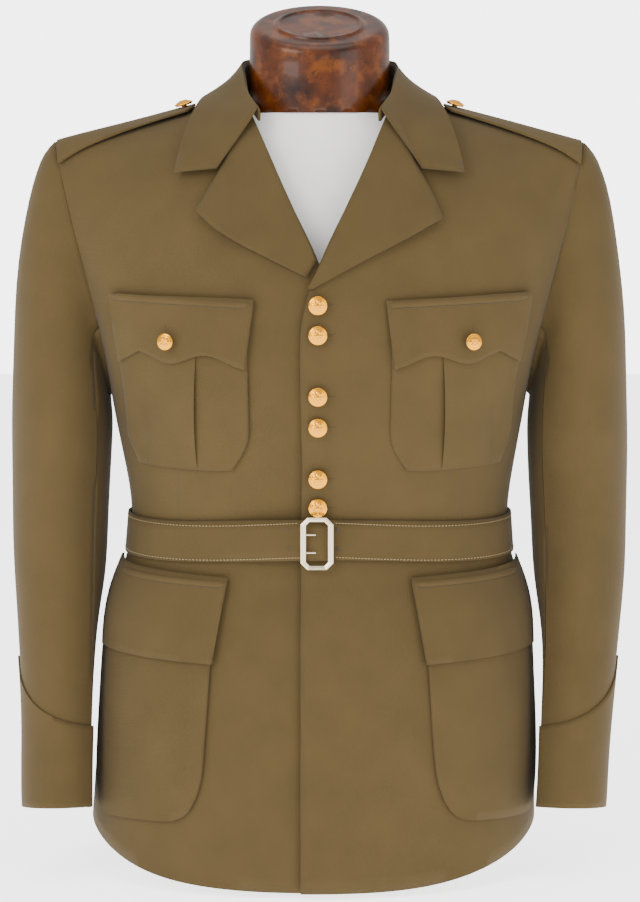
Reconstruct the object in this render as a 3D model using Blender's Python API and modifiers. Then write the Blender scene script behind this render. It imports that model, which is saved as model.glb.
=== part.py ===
"""A military dress tunic, buttoned and belted, worn by a limbless dress form.

Each cut and sewn piece, button and fitting is one named solid. Lengths are in millimetres and turn
into metres when a mesh is made. +Z is up, the chest faces -Y, and the wearer's left is at +X. The
origin is the middle of the form's flat base.

The tunic's body is one smooth skin, drawn through rows that run from its centre front or back to its
side seam or armhole. Panels are stretches of that skin with a wall's thickness. Pockets, flaps,
lapels, belt and straps are laid on it and moved out.
"""

import math
from collections import namedtuple

import bmesh
import bpy
import numpy as np
from mathutils import Vector
from mathutils.bvhtree import BVHTree

MM = 0.001

# ---------------------------------------------------------------- driving sizes, in millimetres
CLOTH = 2.0          # wall of one made-up thickness of cloth
TURNED = 2.2         # wall of a folded edge: collar, lapel, flap, belt
SEAM = 0.4           # gap left between two pieces at a seam
LEAN = 7.5           # how far the skirt and cuffs hang to the wearer's right, at the floor
LEAN_TOP = 300.0     # height where that lean begins
HEM_SWEEP = 3.2      # how late the hem sweeps up towards the side seams

LAP_X = 17.5         # the left front's edge passes the centre by this much
LAP_LIFT = 5.2       # and stands this proud of the right front
LAP_FLAT = 25.0      # it is fully proud up to this far from the centre
LAP_FADE = 95.0      # and lies on the chest from here
BREAK_Z = 577.0      # where the lapels start to fold back

SIDE_Y = 5.0         # depth of the side seams
ROWS_BELOW = 13      # rows of facets from hem to armhole
ROWS_ABOVE = 9       # and from the armhole's foot to the shoulder seam
COLUMNS = 10         # facets across a half front or half back

Row = namedtuple("Row", "centre_y centre_z edge_x side_x side_y side_z square")
FRONT = [
    Row(-165, 6, -10.5, 224, SIDE_Y, 48, 2.50),      # hem
    Row(-159, 110, -14.0, 220, SIDE_Y, 128, 2.50),
    Row(-150, 220, -17.0, 214, SIDE_Y, 222, 2.45),   # hip
    Row(-141, 275, -LAP_X, 208, SIDE_Y, 270, 2.40),
    Row(-131, 318, -LAP_X, 193, SIDE_Y, 308, 2.35),
    Row(-126, 352, -LAP_X, 188, SIDE_Y, 345, 2.30),  # waist
    Row(-128, 385, -LAP_X, 191, SIDE_Y, 382, 2.30),
    Row(-136, 430, -LAP_X, 200, SIDE_Y, 428, 2.30),
    Row(-142, 475, -LAP_X, 207, SIDE_Y, 470, 2.30),  # foot of the armhole
    Row(-143, 516, -LAP_X, 210, -32, 508, 2.15),
    Row(-140, 560, -LAP_X, 218, -46, 549, 1.95),
    Row(-134, 604, -1.0, 229, -51, 592, 1.75),       # from here the edge is the lapel's roll
    Row(-122, 648, 19.0, 239, -46, 631, 1.55),
    Row(-104, 692, 41.0, 249, -36, 667, 1.30),
    Row(-81, 744, 62.0, 256, -20, 700, 1.08),
    Row(-38, 776, 77.0, 260, -8, 713, 1.00),
    Row(20, 786, 85.0, 262, 5, 719.5, 1.00),           # shoulder seam
]
BACK = [
    Row(138, 30, 0, 224, SIDE_Y, 48, 2.40),
    Row(134, 120, 0, 220, SIDE_Y, 128, 2.40),
    Row(127, 222, 0, 214, SIDE_Y, 222, 2.40),
    Row(120, 272, 0, 208, SIDE_Y, 270, 2.35),
    Row(112, 312, 0, 193, SIDE_Y, 308, 2.30),
    Row(107, 347, 0, 188, SIDE_Y, 345, 2.30),
    Row(109, 384, 0, 191, SIDE_Y, 382, 2.30),
    Row(114, 430, 0, 200, SIDE_Y, 428, 2.30),
    Row(119, 473, 0, 207, SIDE_Y, 470, 2.30),
    Row(124, 514, 0, 208, 38, 508, 2.20),
    Row(128, 556, 0, 213, 56, 549, 2.10),
    Row(130, 600, 0, 221, 64, 592, 2.00),
    Row(128, 645, 0, 231, 65, 631, 1.90),
    Row(119, 694, 0, 242, 57, 667, 1.70),
    Row(99, 751, 0, 252, 38, 700, 1.40),            # nape
    Row(72, 770, 48, 259, 22, 713, 1.12),
    Row(20, 786, 85, 262, 5, 719.5, 1.00),             # shoulder seam
]
ARMHOLE_ROW = 8      # the row at the armhole's foot
LAST_ROW = 16
NAPE = 14.3          # the backs meet along their centre seam up to here

# A sleeve below the armhole: rings round the arm, for the wearer's left.
Ring = namedtuple("Ring", "z centre_x centre_y half_x half_y front_up")
SLEEVE = [
    Ring(440, 256.7, 0, 51.5, 76.0, 0),
    Ring(395, 258.0, 0, 50.5, 70.0, 1),
    Ring(345, 259.5, -3, 48.3, 66.0, 3),
    Ring(290, 258.8, -12, 46.8, 62.5, 5),
    Ring(235, 256.3, -24, 43.6, 59.5, 7),
    Ring(175, 253.4, -37, 41.4, 56.5, 8),
    Ring(115, 251.0, -50, 40.0, 54.0, 9),
    Ring(67, 248.8, -60, 39.4, 52.5, 9),             # cuff
]
CAP_ROWS = 4         # rows of facets over the sleeve head
CAP_SWELL = 0.40     # how far the head swells out before it turns down, as a share of its length
ARM_CLEAR = 3.0      # least gap between sleeve and body
FLAP_CLEAR = 13.0     # and below the waist, where flaps and pockets stand out
TOP_SLEEVE = (2, 14)  # the seams: which points round the ring start and end the top sleeve

CUFF_LIFT = 3.3      # a cuff's face stands this far out from the sleeve
CUFF_DEPTH = 76.0    # its depth at the inner side
CUFF_POINT = 68.0    # and how much higher its point rises at the outer side
CUFF_CURVE = 3.0     # how late the edge sweeps up to that point

POCKET_LIFT = 4.9    # a pocket's face stands this far out
FLAP_LIFT = 8.8      # a flap's face, at its free edge
BELT_Z = 342.5       # middle of the belt at the front
BELT_DROP = 8.0      # it sits this much lower at the sides
BELT_HEIGHT = 38.5
BELT_WALL = 2.6
BELT_LIFT = 4.2      # its outer face
BUTTON_ZS = (566.5, 538.5, 480.5, 451.0, 401.0, 373.0)
BUTTON_X = -1.5
FRONT_BUTTON = 18.0  # diameters
POCKET_BUTTON = 16.0


# ---------------------------------------------------------------- small maths
def unit(vectors):
    """Vectors at length one, along the last axis."""
    vectors = np.asarray(vectors, float)
    return vectors / np.maximum(np.linalg.norm(vectors, axis=-1, keepdims=True), 1e-9)


def ease(start, end, value):
    """0 before start, 1 after end, and a smooth step between them."""
    t = min(1.0, max(0.0, (value - start) / (end - start)))
    return t * t * (3 - 2 * t)


def between(table, place):
    """The row of a table at a fractional place, on a smooth curve through the rows."""
    i = int(min(max(math.floor(place), 0), len(table) - 2))
    t = place - i
    before, a, b, after = (
        np.array(table[min(max(k, 0), len(table) - 1)], float) for k in (i - 1, i, i + 1, i + 2)
    )
    curve = (
        2 * a
        + (b - before) * t
        + (2 * before - 5 * a + 4 * b - after) * t * t
        + (3 * a - before - 3 * b + after) * t * t * t
    )
    return type(table[0])(*(0.5 * curve))


def evenly(line, count, trim=(0.0, 0.0)):
    """count + 1 points at equal distances along a line of points, with its ends trimmed."""
    line = np.asarray(line, float)
    along = np.concatenate([[0], np.cumsum(np.linalg.norm(np.diff(line, axis=0), axis=1))])
    wanted = np.linspace(trim[0], along[-1] - trim[1], count + 1)
    return np.stack([np.interp(wanted, along, line[:, k]) for k in range(3)], axis=1)


def lean(points):
    """The points, with the lowest ones moved towards the wearer's right as the tunic hangs."""
    points = np.array(points, float)
    fall = np.clip((LEAN_TOP - points[..., 2]) / LEAN_TOP, 0, 1)
    points[..., 0] -= LEAN * fall**1.3
    return points


# ---------------------------------------------------------------- the skin of the tunic's body
def row_line(row, from_x, steps=72):
    """Points along one row, from from_x out to the side seam or armhole."""
    start = math.copysign(math.asin((abs(from_x) / row.side_x) ** (row.square / 2)), from_x)
    angles = np.linspace(start, math.pi / 2, steps)
    share = np.sign(angles) * np.abs(np.sin(angles)) ** (2 / row.square)
    drop = np.abs(np.cos(angles)) ** (2 / row.square)
    late = 1 + HEM_SWEEP * max(0.0, 1 - row.centre_z / LEAN_TOP)
    return np.stack(
        [
            share * row.side_x,
            row.side_y + (row.centre_y - row.side_y) * drop,
            row.centre_z + (row.side_z - row.centre_z) * np.abs(share) ** late,
        ],
        axis=1,
    )


def places():
    """Where each row of facets lies in the tables, from hem to shoulder seam."""
    below = np.linspace(0, ARMHOLE_ROW, ROWS_BELOW + 1)
    above = np.linspace(ARMHOLE_ROW, LAST_ROW, ROWS_ABOVE + 1)
    return list(below) + list(above[1:])


def half_skin(table, stations, columns, to_centre=False):
    """The skin's points over a half front or half back, for the wearer's left."""
    grid = []
    for place in stations:
        row = between(table, place)
        if place <= ARMHOLE_ROW:
            side = between(FRONT, place)
            row = row._replace(side_x=side.side_x, side_y=SIDE_Y, side_z=side.side_z)
        from_x = 0.0 if to_centre else row.edge_x
        if table is BACK and place < NAPE:
            from_x = 0.0
        grid.append(evenly(row_line(row, from_x), columns))
    return np.array(grid)


def skin_normals(front, back):
    """Outward directions over both halves, agreeing along the seams that they share."""
    found = []
    foot = ROWS_BELOW
    for here, other, turn in ((front, back, 1.0), (back, front, -1.0)):
        across = np.gradient(here, axis=1)
        across[: foot + 1, -1] = other[: foot + 1, -2] - here[: foot + 1, -2]
        up = np.gradient(here, axis=0)
        up[-1] = other[-2] - here[-2]
        normals = unit(np.cross(across, up)) * turn
        found.append(normals)
    front_n, back_n = found
    for shared in (np.s_[: foot + 1, -1], np.s_[-1, :]):
        front_n[shared] = back_n[shared] = unit(front_n[shared] + back_n[shared])
    back_n[:, 0, 0] = 0
    return unit(front_n), unit(back_n)


def mirror(points):
    """The points on the wearer's other side."""
    return np.asarray(points) * np.array([-1.0, 1.0, 1.0])


def lap_lift(x, side):
    """How far the left front, and what lies on it, stands out near the centre."""
    return LAP_LIFT * (1 - ease(LAP_FLAT, LAP_FADE, x)) if side > 0 else 0.0


def lap_rise(x):
    """How far a piece that crosses the front edge stands out, on either side of it."""
    return LAP_LIFT * (1 - ease(LAP_FLAT, LAP_FADE, abs(x)))


class Skin:
    """The fine skin of the whole body, for laying pieces on it."""

    def __init__(self):
        stations = np.linspace(0, LAST_ROW, 97)
        verts, faces = [], []
        for table in (FRONT, BACK):
            grid = half_skin(table, stations, 48, to_centre=True)
            for points, flip in ((grid, False), (mirror(grid), True)):
                points = lean(points)
                base, (rows, cols) = len(verts), points.shape[:2]
                verts.extend(map(Vector, points.reshape(-1, 3)))
                for r in range(rows - 1):
                    for c in range(cols - 1):
                        a = base + r * cols + c
                        quad = (a, a + 1, a + cols + 1, a + cols)
                        faces.append(quad[::-1] if flip != (table is BACK) else quad)
        self.tree = BVHTree.FromPolygons(verts, faces)

    def cast(self, start, direction):
        hit, normal, _, _ = self.tree.ray_cast(Vector(start), Vector(direction).normalized())
        if hit is None:
            raise ValueError(f"no skin seen from {start} along {direction}")
        return np.array(hit), np.array(normal)

    def front(self, x, z):
        """The point of the chest seen from the front at x, z."""
        return self.cast((x, -600.0, z), (0, 1, 0))[0]

    def top(self, x, y):
        """The point of the shoulder seen from above at x, y, or the nearest one towards the neck."""
        for step in range(40):
            start = Vector((x - math.copysign(step, x), y, 1200))
            hit = self.tree.ray_cast(start, Vector((0, 0, -1)))[0]
            if hit is not None and hit.z > 600:
                return np.array(hit)
        raise ValueError(f"no shoulder below {x}, {y}")

    def girth(self, z, side, steps=120):
        """Points round the body at height z, from its centre front as far as the skin goes."""
        line = []
        for angle in np.linspace(0, math.pi, steps + 1):
            away = Vector((side * math.sin(angle), -math.cos(angle), 0))
            start = Vector((0, SIDE_Y, z)) + away * 600
            hit = self.tree.ray_cast(start, -away)[0]
            if hit is None or (hit - Vector((0, SIDE_Y, z))).dot(away) < 0:
                break
            line.append(np.array(hit))
        return np.array(line)

    def rest(self, point, lift):
        """The point, moved out where it is nearer than lift to the skin or inside it."""
        near, normal, _, _ = self.tree.find_nearest(Vector(point))
        out = (Vector(point) - near).dot(normal)
        if out >= lift:
            return np.asarray(point, float)
        return np.array(near + normal * lift)


def grid_normals(grid, outward_from):
    """Directions square to a grid of points, pointing away from a point inside it."""
    normals = unit(np.cross(np.gradient(grid, axis=1), np.gradient(grid, axis=0)))
    away = grid - np.asarray(outward_from, float)
    return normals if (normals * away).sum() > 0 else -normals


# ---------------------------------------------------------------- making solids
def material(name, colour, roughness, metallic=0.0):
    made = bpy.data.materials.new(name)
    made.use_nodes = True
    shader = made.node_tree.nodes["Principled BSDF"]
    shader.inputs["Base Color"].default_value = (*colour, 1.0)
    shader.inputs["Roughness"].default_value = roughness
    shader.inputs["Metallic"].default_value = metallic
    made.diffuse_color = (*colour, 1.0)
    return made


def add(name, verts, faces, look, smooth=50):
    """A mesh object from points in millimetres, its faces turned outwards and shaded smooth."""
    mesh = bpy.data.meshes.new(name)
    mesh.from_pydata([tuple(p) for p in np.asarray(verts) * MM], [], [tuple(f) for f in faces])
    shape = bmesh.new()
    shape.from_mesh(mesh)
    bmesh.ops.recalc_face_normals(shape, faces=shape.faces)
    shape.to_mesh(mesh)
    shape.free()
    mesh.materials.append(look)
    mesh.shade_smooth()
    mesh.set_sharp_from_angle(angle=math.radians(smooth))
    made = bpy.data.objects.new(name, mesh)
    PARTS.objects.link(made)
    return made


def ring_faces(rings, around):
    """Faces over rings of points stacked from bottom to top, closed at both ends."""
    faces = []
    for r in range(rings - 1):
        for k in range(around):
            a, b, up = r * around + k, r * around + (k + 1) % around, around
            faces.append((a, b, b + up, a + up))
    faces.append(tuple(range(around)))
    faces.append(tuple((rings - 1) * around + k for k in range(around)))
    return faces


def wall(name, outer, inner, look):
    """One closed wall between two grids of points of the same size."""
    rows, cols = outer.shape[:2]
    count = rows * cols

    def at(r, c, layer):
        return layer * count + r * cols + c

    faces = []
    for r in range(rows - 1):
        for c in range(cols - 1):
            faces.append((at(r, c, 0), at(r, c + 1, 0), at(r + 1, c + 1, 0), at(r + 1, c, 0)))
            faces.append((at(r, c, 1), at(r + 1, c, 1), at(r + 1, c + 1, 1), at(r, c + 1, 1)))
    rim = [(0, c) for c in range(cols)]
    rim += [(r, cols - 1) for r in range(1, rows)]
    rim += [(rows - 1, c) for c in range(cols - 2, -1, -1)]
    rim += [(r, 0) for r in range(rows - 2, 0, -1)]
    for (r1, c1), (r2, c2) in zip(rim, rim[1:] + rim[:1]):
        faces.append((at(r1, c1, 0), at(r1, c1, 1), at(r2, c2, 1), at(r2, c2, 0)))
    return add(name, np.concatenate([outer.reshape(-1, 3), inner.reshape(-1, 3)]), faces, look)


def laid(name, skin_points, normals, face_lift, thickness, look):
    """A wall laid on the skin: its face is moved out by face_lift, a number or a grid of them."""
    lift = np.broadcast_to(np.asarray(face_lift, float), skin_points.shape[:2])[..., None]
    outer = skin_points + normals * lift
    return wall(name, outer, outer - normals * thickness, look)


def pull_in(grid, gap, left=False, right=False, top=False):
    """Moves edge points towards their neighbours, to leave half a seam's gap."""
    grid = grid.copy()
    half = gap / 2
    if left:
        grid[:, 0] += unit(grid[:, 1] - grid[:, 0]) * half
    if right:
        grid[:, -1] += unit(grid[:, -2] - grid[:, -1]) * half
    if top:
        grid[-1] += unit(grid[-2] - grid[-1]) * half
    return grid


def turned(name, profile, place, axis, look, steps=18):
    """A round solid: a profile of radius and height, turned about its own axis."""
    mesh = bpy.data.meshes.new(name)
    verts = [(r * MM, 0, h * MM) for r, h in profile]
    mesh.from_pydata(verts, [(i, i + 1) for i in range(len(verts) - 1)], [])
    made = bpy.data.objects.new(name, mesh)
    PARTS.objects.link(made)
    screw = made.modifiers.new("turn", "SCREW")
    screw.steps = screw.render_steps = steps
    screw.use_merge_vertices = True
    screw.merge_threshold = 1e-5
    screw.use_smooth_shade = True
    mesh.materials.append(look)
    made.location = Vector(place) * MM
    made.rotation_mode = "QUATERNION"
    made.rotation_quaternion = Vector(axis).to_track_quat("Z", "Y")
    return made


# ---------------------------------------------------------------- body panels
def body_panels(cloth):
    """The four panels. Returns the points and outward directions round the left armhole."""
    front, back = (half_skin(table, places(), COLUMNS) for table in (FRONT, BACK))
    front_n, back_n = skin_normals(front, back)
    edge = ROWS_BELOW + 1
    front_in = pull_in(front, SEAM, top=True)
    front_in[:edge] = pull_in(front_in[:edge], SEAM, right=True)
    back_in = pull_in(back, SEAM, left=True, top=True)
    back_in[:edge] = pull_in(back_in[:edge], SEAM, right=True)
    for side, word in ((1, "left"), (-1, "right")):
        turn = np.array([side, 1.0, 1.0])
        lift = np.array([[lap_lift(p[0], side) for p in row] for row in front_in])[..., None]
        outer = front_in + front_n * lift
        inner = outer - front_n * CLOTH
        wall(f"front_{word}", lean(outer * turn), lean(inner * turn), cloth)
        wall(f"back_{word}", lean(back_in * turn), lean((back_in - back_n * CLOTH) * turn), cloth)
    loops = []
    for front_grid, back_grid in ((front, back), (front_n, back_n)):
        up_front, down_back = front_grid[ROWS_BELOW:, -1], back_grid[ROWS_BELOW:, -1][::-1]
        loops.append(np.concatenate([up_front, down_back[1:-1]]))
    return loops


# ---------------------------------------------------------------- sleeves and cuffs
def body_reach(y, z):
    """How far out the body's skin reaches at depth y and height z, below the armhole."""
    table = FRONT if y < SIDE_Y else BACK
    heights = [row.side_z for row in table[: ARMHOLE_ROW + 1]]
    row = between(table, float(np.interp(z, heights, range(ARMHOLE_ROW + 1))))
    share = min(1.0, abs((y - SIDE_Y) / (row.centre_y - SIDE_Y)))
    return row.side_x * (1 - share**row.square) ** (1 / row.square)


def sleeve_grid(armhole, armhole_normals):
    """Points and outward directions of a left sleeve's face, in rings from armhole to cuff."""
    around = len(armhole)
    run = np.roll(armhole, -1, axis=0) - np.roll(armhole, 1, axis=0)
    away = unit(np.cross(armhole_normals, run))
    away = away if away[around // 2, 0] > 0 else -away
    low = 1 - np.clip((armhole[:, 2:] - armhole[0, 2]) / 60, 0, 1)
    armhole = armhole + away * SEAM + low * [0.8, 0, 0]
    angles = np.arange(around) * 2 * math.pi / around

    def ring(r):
        x = r.centre_x - r.half_x * np.cos(angles)
        y = r.centre_y - r.half_y * np.sin(angles)
        return np.stack([x, y, r.z + r.front_up * np.sin(angles)], axis=1)

    rings = [armhole]
    first = ring(SLEEVE[0])
    reach = np.linalg.norm(first - armhole, axis=1)[:, None]
    leave, arrive = np.array([1.0, 0, 0.14]), np.array([0, 0, -1.0])
    for k in range(1, CAP_ROWS + 1):
        t = (k / CAP_ROWS) ** 1.15
        rings.append(
            (2 * t**3 - 3 * t**2 + 1) * armhole
            + (t**3 - 2 * t**2 + t) * CAP_SWELL * reach * leave
            + (3 * t**2 - 2 * t**3) * first
            + (t**3 - t**2) * 0.9 * reach * arrive
        )
    rings += [ring(r) for r in SLEEVE[1:]]
    grid = np.array(rings)
    for point in grid[1:].reshape(-1, 3):
        if point[2] < FRONT[ARMHOLE_ROW].side_z:
            clear = ARM_CLEAR + (FLAP_CLEAR - ARM_CLEAR) * (1 - ease(300, 370, point[2]))
            point[0] = max(point[0], body_reach(point[1], point[2]) + clear)
    normals = ring_normals(grid)
    mitre = unit(normals[0] + armhole_normals)
    towards = (mitre * away).sum(axis=1, keepdims=True)
    normals[0] = unit(mitre - np.maximum(towards, 0) * away)
    return grid, normals


def ring_normals(grid):
    """Outward directions over rings of points that close on themselves."""
    wrapped = np.concatenate([grid[:, -1:], grid, grid[:, :1]], axis=1)
    across = (wrapped[:, 2:] - wrapped[:, :-2]) / 2
    normals = unit(np.cross(across, np.gradient(grid, axis=0)))
    middle = grid.mean(axis=1, keepdims=True)
    return normals if (normals * (grid - middle)).sum() > 0 else -normals


def sleeves(armhole, armhole_normals, cloth):
    grid, normals = sleeve_grid(armhole, armhole_normals)
    around = grid.shape[1]
    start, end = TOP_SLEEVE
    spans = {
        "top_sleeve": list(range(start, end + 1)),
        "under_sleeve": [j % around for j in range(end, around + start + 1)],
    }
    for side, word in ((1, "left"), (-1, "right")):
        turn = np.array([side, 1.0, 1.0])
        for piece, columns in spans.items():
            outer = pull_in(grid[:, columns], 2 * SEAM, left=True, right=True)
            inner = outer - normals[:, columns] * CLOTH
            wall(f"{piece}_{word}", lean(outer * turn), lean(inner * turn), cloth)
        cuff(f"cuff_{word}", grid, normals, turn, cloth)


def cuff(name, grid, normals, turn, cloth):
    """The turned-up cuff: deepest at its outer side, where its edge rises to a point."""
    around = grid.shape[1]
    rows = 4
    bottom = grid[-1]
    faces = []
    for j in range(around + 1):
        k = j % around
        column = grid[:, k]
        heights = column[::-1, 2]
        swing = abs(((j / around) * 2 + 1) % 2 - 1)
        top = bottom[k, 2] + CUFF_DEPTH + CUFF_POINT * swing**CUFF_CURVE
        line = []
        for z in np.linspace(bottom[k, 2] - 0.6, top, rows + 1):
            point = [np.interp(z, heights, column[::-1, i]) for i in range(3)]
            normal = [np.interp(z, heights, normals[::-1, k, i]) for i in range(3)]
            line.append((*point[:2], z, *normal))
        faces.append(line)
    table = np.array(faces).transpose(1, 0, 2)
    table[:, -1] = table[:, 0]
    points, out = table[..., :3], unit(table[..., 3:])
    points = pull_in(points, SEAM, left=True, right=True)
    outer = points + out * CUFF_LIFT
    inner = outer - out * CLOTH
    wall(name, lean(outer * turn), lean(inner * turn), cloth)


# ---------------------------------------------------------------- lapels and collar
# A lapel's outline from the front, for the wearer's left: x from the centre, z from the floor.
LAPEL_ROLL = [(-11.5, 581), (0, 601), (19, 645), (41, 692), (54, 721), (64, 743)]
LAPEL_EDGE = [(-6.5, 580), (40, 606), (86, 628), (119, 648), (98, 682), (68, 741)]
# The right lapel starts where the left front no longer covers it.
UNDER_ROLL = [(3.0, 608), (19, 645), (41, 692), (54, 721), (64, 743)]
UNDER_EDGE = [(12, 592), (40, 606), (86, 628), (119, 648), (98, 682), (68, 741)]
LAPEL_ROWS = 9
LAPEL_COLUMNS = 4


def along_line(line, share):
    """A point of a drawn line at a share of its length."""
    line = np.array(line, float)
    length = np.concatenate([[0], np.cumsum(np.linalg.norm(np.diff(line, axis=0), axis=1))])
    return np.array([np.interp(share * length[-1], length, line[:, k]) for k in range(line.shape[1])])


def lapel(name, side, skin, cloth):
    """The facing that shows where the front folds back, standing off the chest at its edge."""
    roll, edge = (LAPEL_ROLL, LAPEL_EDGE) if side > 0 else (UNDER_ROLL, UNDER_EDGE)
    rows = []
    for share in np.linspace(0, 1, LAPEL_ROWS + 1):
        start, end = along_line(roll, share), along_line(edge, share)
        rows.append([start + (end - start) * q for q in np.linspace(0, 1, LAPEL_COLUMNS + 1)])
    grid = np.array(rows)
    points = np.array([[skin.front(side * x, z) for x, z in row] for row in grid])
    normals = grid_normals(points, (0, 60, 640))
    stand = np.array(
        [
            [
                lap_lift(x, side) + SEAM + TURNED + 4.0 * ease(585, 640, z) * (0.35 + 0.65 * q)
                for (x, z), q in zip(row, np.linspace(0, 1, LAPEL_COLUMNS + 1))
            ]
            for row in grid
        ]
    )
    laid(name, points, normals, stand, TURNED, cloth)


Fold = namedtuple("Fold", "base_x base_y base_z fold_x fold_y fold_z mid_x mid_y mid_z edge_x edge_y edge_z")
COLLAR = [
    # stand at the neck seam, the fold, the middle of the fall, and its edge
    Fold(0, 83, 764, 0, 77, 803, 0, 92, 779, 0, 108, 748),
    Fold(34, 78, 764, 36, 72, 803, 43, 86, 779, 48, 104, 748),
    Fold(65, 56, 766, 63, 51, 802, 77, 63, 779, 88, 78, 750),
    Fold(80, 26, 767, 75, 25, 800, 89, 29, 780, 104, 36, 757),
    Fold(81, 0, 766, 77, 1, 795, 92, 0, 779, 113, 0, 759),
    Fold(75, -26, 764, 74, -22, 785, 94, -28, 766, 121, -35, 745),
    Fold(69, -43, 756, 71, -42, 770, 99, -60, 737, 133, -63, 716),
    Fold(57, -68, 740, 59, -74, 754, 98, -91, 694, 139, -82, 691),
]
COLLAR_ROWS = 12
FOLD_ROLL = 3.0      # half the width of the rolled fold


def collar(skin, cloth):
    """The stand and fall in one folded wall, from point to point round the back of the neck."""
    half = []
    for place in np.linspace(0, len(COLLAR) - 1, COLLAR_ROWS + 1):
        f = between(COLLAR, place)
        base = np.array([f.base_x, f.base_y, f.base_z])
        fold = np.array([f.fold_x, f.fold_y, f.fold_z])
        mid = np.array([f.mid_x, f.mid_y, f.mid_z])
        edge = np.array([f.edge_x, f.edge_y, f.edge_z])
        out = unit((mid - fold) * [1, 1, 0])
        line = [
            base,
            fold - out * FOLD_ROLL - [0, 0, 5.0],
            fold,
            fold + out * FOLD_ROLL - [0, 0, 4.5],
            mid,
            edge,
        ]
        rest = [skin.rest(p, lift) for p, lift in zip(line[3:], (7.0, 11.0, 10.6))]
        half.append(line[:3] + rest)
    half = np.array(half)
    grid = np.concatenate([mirror(half[:0:-1]), half])
    normals = unit(np.cross(np.gradient(grid, axis=1), np.gradient(grid, axis=0)))
    if normals[COLLAR_ROWS, -1, 1] < 0:
        normals = -normals
    wall("collar", grid, grid - normals * CLOTH, cloth)


# ---------------------------------------------------------------- pockets and flaps
# Half widths are measured over the cloth; centre is the way round from the middle of the front.
Pocket = namedtuple("Pocket", "centre half_top half_bottom top bottom corner tilt")
CHEST_POCKET = Pocket(centre=138, half_top=68, half_bottom=71, top=562, bottom=409, corner=26, tilt=2)
HIP_POCKET = Pocket(centre=190, half_top=90, half_bottom=76, top=292, bottom=66, corner=36, tilt=-5)
Flap = namedtuple("Flap", "centre half_top half_bottom top bottom scallop point tilt")
CHEST_FLAP = Flap(138, 75, 67, top=573, bottom=508, scallop=12, point=0.13, tilt=3)
HIP_FLAP = Flap(178, 90, 75, top=305, bottom=224, scallop=0, point=0, tilt=2)


def on_body(skin, side, places_z, distances):
    """Skin points over a patch: places_z and distances are grids of height and way round."""
    grid = np.zeros((*places_z.shape, 3))
    level_cache = {}
    for index, z in np.ndenumerate(places_z):
        key = round(float(z), 1)
        if key not in level_cache:
            line = skin.girth(key, side)
            along = np.concatenate([[0], np.cumsum(np.linalg.norm(np.diff(line, axis=0), axis=1))])
            level_cache[key] = (line, along)
        line, along = level_cache[key]
        grid[index] = [np.interp(distances[index], along, line[:, k]) for k in range(3)]
    return grid


def pocket(name, shape, side, skin, cloth, columns=8, rows=6):
    """A patch with rounded lower corners."""
    shares = np.linspace(-1, 1, columns + 1)
    levels = np.linspace(0, 1, rows + 1)
    zs, ways = np.zeros((rows + 1, columns + 1)), np.zeros((rows + 1, columns + 1))
    for r, level in enumerate(levels):
        half = shape.half_bottom + (shape.half_top - shape.half_bottom) * level
        for c, share in enumerate(shares):
            inset = max(0.0, abs(share) * half - (half - shape.corner))
            foot = shape.corner - math.sqrt(max(0.0, shape.corner**2 - inset**2))
            zs[r, c] = shape.bottom + foot + (shape.top - shape.bottom - foot) * level + shape.tilt * share
            ways[r, c] = shape.centre + share * half
    points = on_body(skin, side, zs, ways)
    normals = grid_normals(points, (0, SIDE_Y, (shape.top + shape.bottom) / 2))
    laid(name, points, normals, POCKET_LIFT, CLOTH, cloth)


def flap_foot(shape, share):
    """Height of a flap's lower edge: points at both ends and the middle, scooped between them."""
    off = share - shape.point
    reach = 1 - shape.point if off > 0 else 1 + shape.point
    return shape.bottom + shape.scallop * math.sin(math.pi * abs(off) / reach) ** 2


def flap(name, shape, side, skin, cloth, columns=10, rows=3):
    """A flap sewn along its top edge, standing off the pocket at its free edge."""
    zs, ways = np.zeros((rows + 1, columns + 1)), np.zeros((rows + 1, columns + 1))
    for r, level in enumerate(np.linspace(0, 1, rows + 1)):
        half = shape.half_bottom + (shape.half_top - shape.half_bottom) * level
        for c, share in enumerate(np.linspace(-1, 1, columns + 1)):
            foot = flap_foot(shape, share)
            zs[r, c] = foot + (shape.top - foot) * level + shape.tilt * share
            ways[r, c] = shape.centre + share * half
    points = on_body(skin, side, zs, ways)
    normals = grid_normals(points, (0, SIDE_Y, (shape.top + shape.bottom) / 2))
    drop = np.linspace(0, 1, rows + 1)[:, None]
    lift = FLAP_LIFT - 0.9 * drop**4 + np.zeros_like(zs)
    laid(name, points, normals, lift, TURNED, cloth)
    return points, normals


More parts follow.
